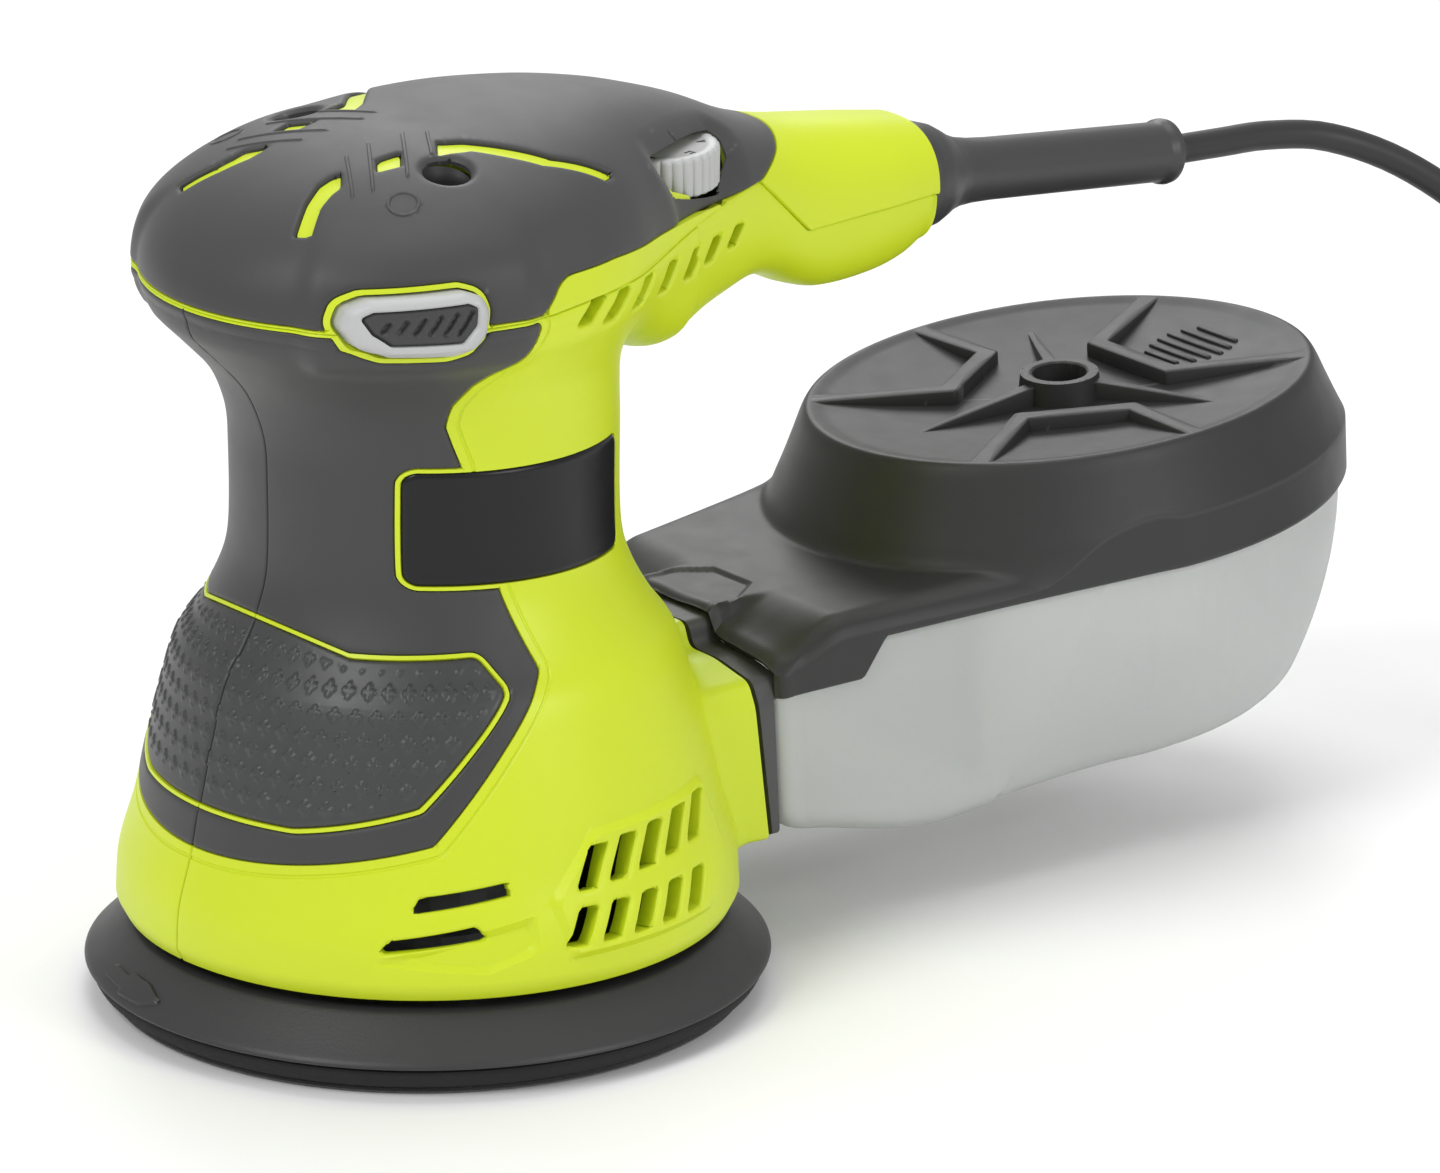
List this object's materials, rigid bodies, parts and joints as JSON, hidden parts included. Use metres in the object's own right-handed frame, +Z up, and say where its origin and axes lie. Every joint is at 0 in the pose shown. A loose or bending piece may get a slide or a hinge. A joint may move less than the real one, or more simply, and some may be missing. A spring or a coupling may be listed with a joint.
{
  "type": "random orbit palm sander",
  "caption": "Upright palm sander with a round orbiting pad, a soft palm grip, a speed dial, a push-through switch, a rear dust box and a mains cord.",
  "frame": {"origin": "on the motor axis, in the lower face of the hook pad", "axes": "+Z up along the motor axis, +Y rearward towards the dust box and cord, +X to the right-hand side with the speed dial"},
  "size_m": [0.211, 0.4398, 0.1762],
  "materials": {
    "green": "satin",
    "soft_grip": "matte",
    "grip_texture": "matte",
    "badge": "gloss",
    "black_plastic": "matte",
    "plate_plastic": "matte",
    "foam": "matte",
    "hook": "matte",
    "lid_plastic": "satin",
    "tub_plastic": "satin",
    "light_plastic": "satin",
    "steel": "satin",
    "laminations": "matte",
    "copper": "satin",
    "carbon": "matte",
    "cast_metal": "matte",
    "filter_paper": "matte",
    "cord_rubber": "matte",
    "brass": "satin"
  },
  "bodies": {
    "housing": {"housing_right": "green", "housing_left": "green", "top_cover": "green", "grip_overmould_right": "soft_grip", "grip_overmould_left": "soft_grip", "palm_overmould": "soft_grip", "grip_panel_right": "grip_texture", "grip_panel_left": "grip_texture", "badge_right": "badge", "badge_left": "badge", "top_screw": "steel", "housing_screw": "steel", "stator_core": "laminations", "field_coil_front": "copper", "field_coil_rear": "copper", "brush_holder_right": "brass", "brush_holder_left": "brass", "carbon_brush_right": "carbon", "carbon_brush_left": "carbon", "brush_spring_right": "steel", "brush_spring_left": "steel", "upper_bearing": "steel", "lower_bearing": "steel", "fan_housing": "black_plastic", "switch_module": "black_plastic", "speed_module": "black_plastic", "cord_clamp": "black_plastic", "pad_brake": "cord_rubber", "dust_port_seal": "cord_rubber", "cord_boot": "cord_rubber", "cord_tube": "cord_rubber", "cord_coil": "cord_rubber", "plug_body": "cord_rubber", "plug_pin_right": "brass", "plug_pin_left": "brass"},
    "rotor": {"rotor_shaft": "steel", "armature_core": "laminations", "armature_winding_lower": "copper", "armature_winding_upper": "copper", "commutator": "copper", "fan": "cast_metal", "counterweight": "cast_metal", "pad_bearing": "steel"},
    "pad": {"hook_face": "hook", "pad_foam": "foam", "backing_plate": "plate_plastic", "pad_hub": "cast_metal", "pad_screw_1": "steel", "pad_screw_2": "steel", "pad_screw_3": "steel"},
    "switch": {"switch_bar": "black_plastic", "switch_cap_right": "light_plastic", "switch_cap_left": "light_plastic", "switch_insert_right": "soft_grip", "switch_insert_left": "soft_grip"},
    "dial": {"speed_dial": "light_plastic"},
    "dust_box": {"dust_tub": "tub_plastic", "filter_frame": "black_plastic", "filter_element": "filter_paper"},
    "dust_lid": {"dust_lid": "lid_plastic"}
  },
  "joints": [
    {"name": "motor_spin", "type": "hinge", "parent": "housing", "child": "rotor", "pos_m": [0, 0, 0.06], "axis": [0, 0, 1], "continuous": true},
    {"name": "pad_spin", "type": "hinge", "parent": "rotor", "child": "pad", "pos_m": [0.00092, -0.00077, 0.02], "axis": [0, 0, 1], "continuous": true},
    {"name": "switch_push", "type": "slide", "parent": "housing", "child": "switch", "axis": [-1, 0, 0], "range_m": [0, 0.004]},
    {"name": "speed_turn", "type": "hinge", "parent": "housing", "child": "dial", "pos_m": [0.013, 0.046, 0.16], "axis": [0, 0, 1], "range_deg": [-270, 0]},
    {"name": "dust_box_pull", "type": "slide", "parent": "housing", "child": "dust_box", "axis": [0, 0.9986, 0.0523], "range_m": [0, 0.04]},
    {"name": "lid_lift", "type": "slide", "parent": "dust_box", "child": "dust_lid", "axis": [0, -0.0523, 0.9986], "range_m": [0, 0.014]}
  ]
}
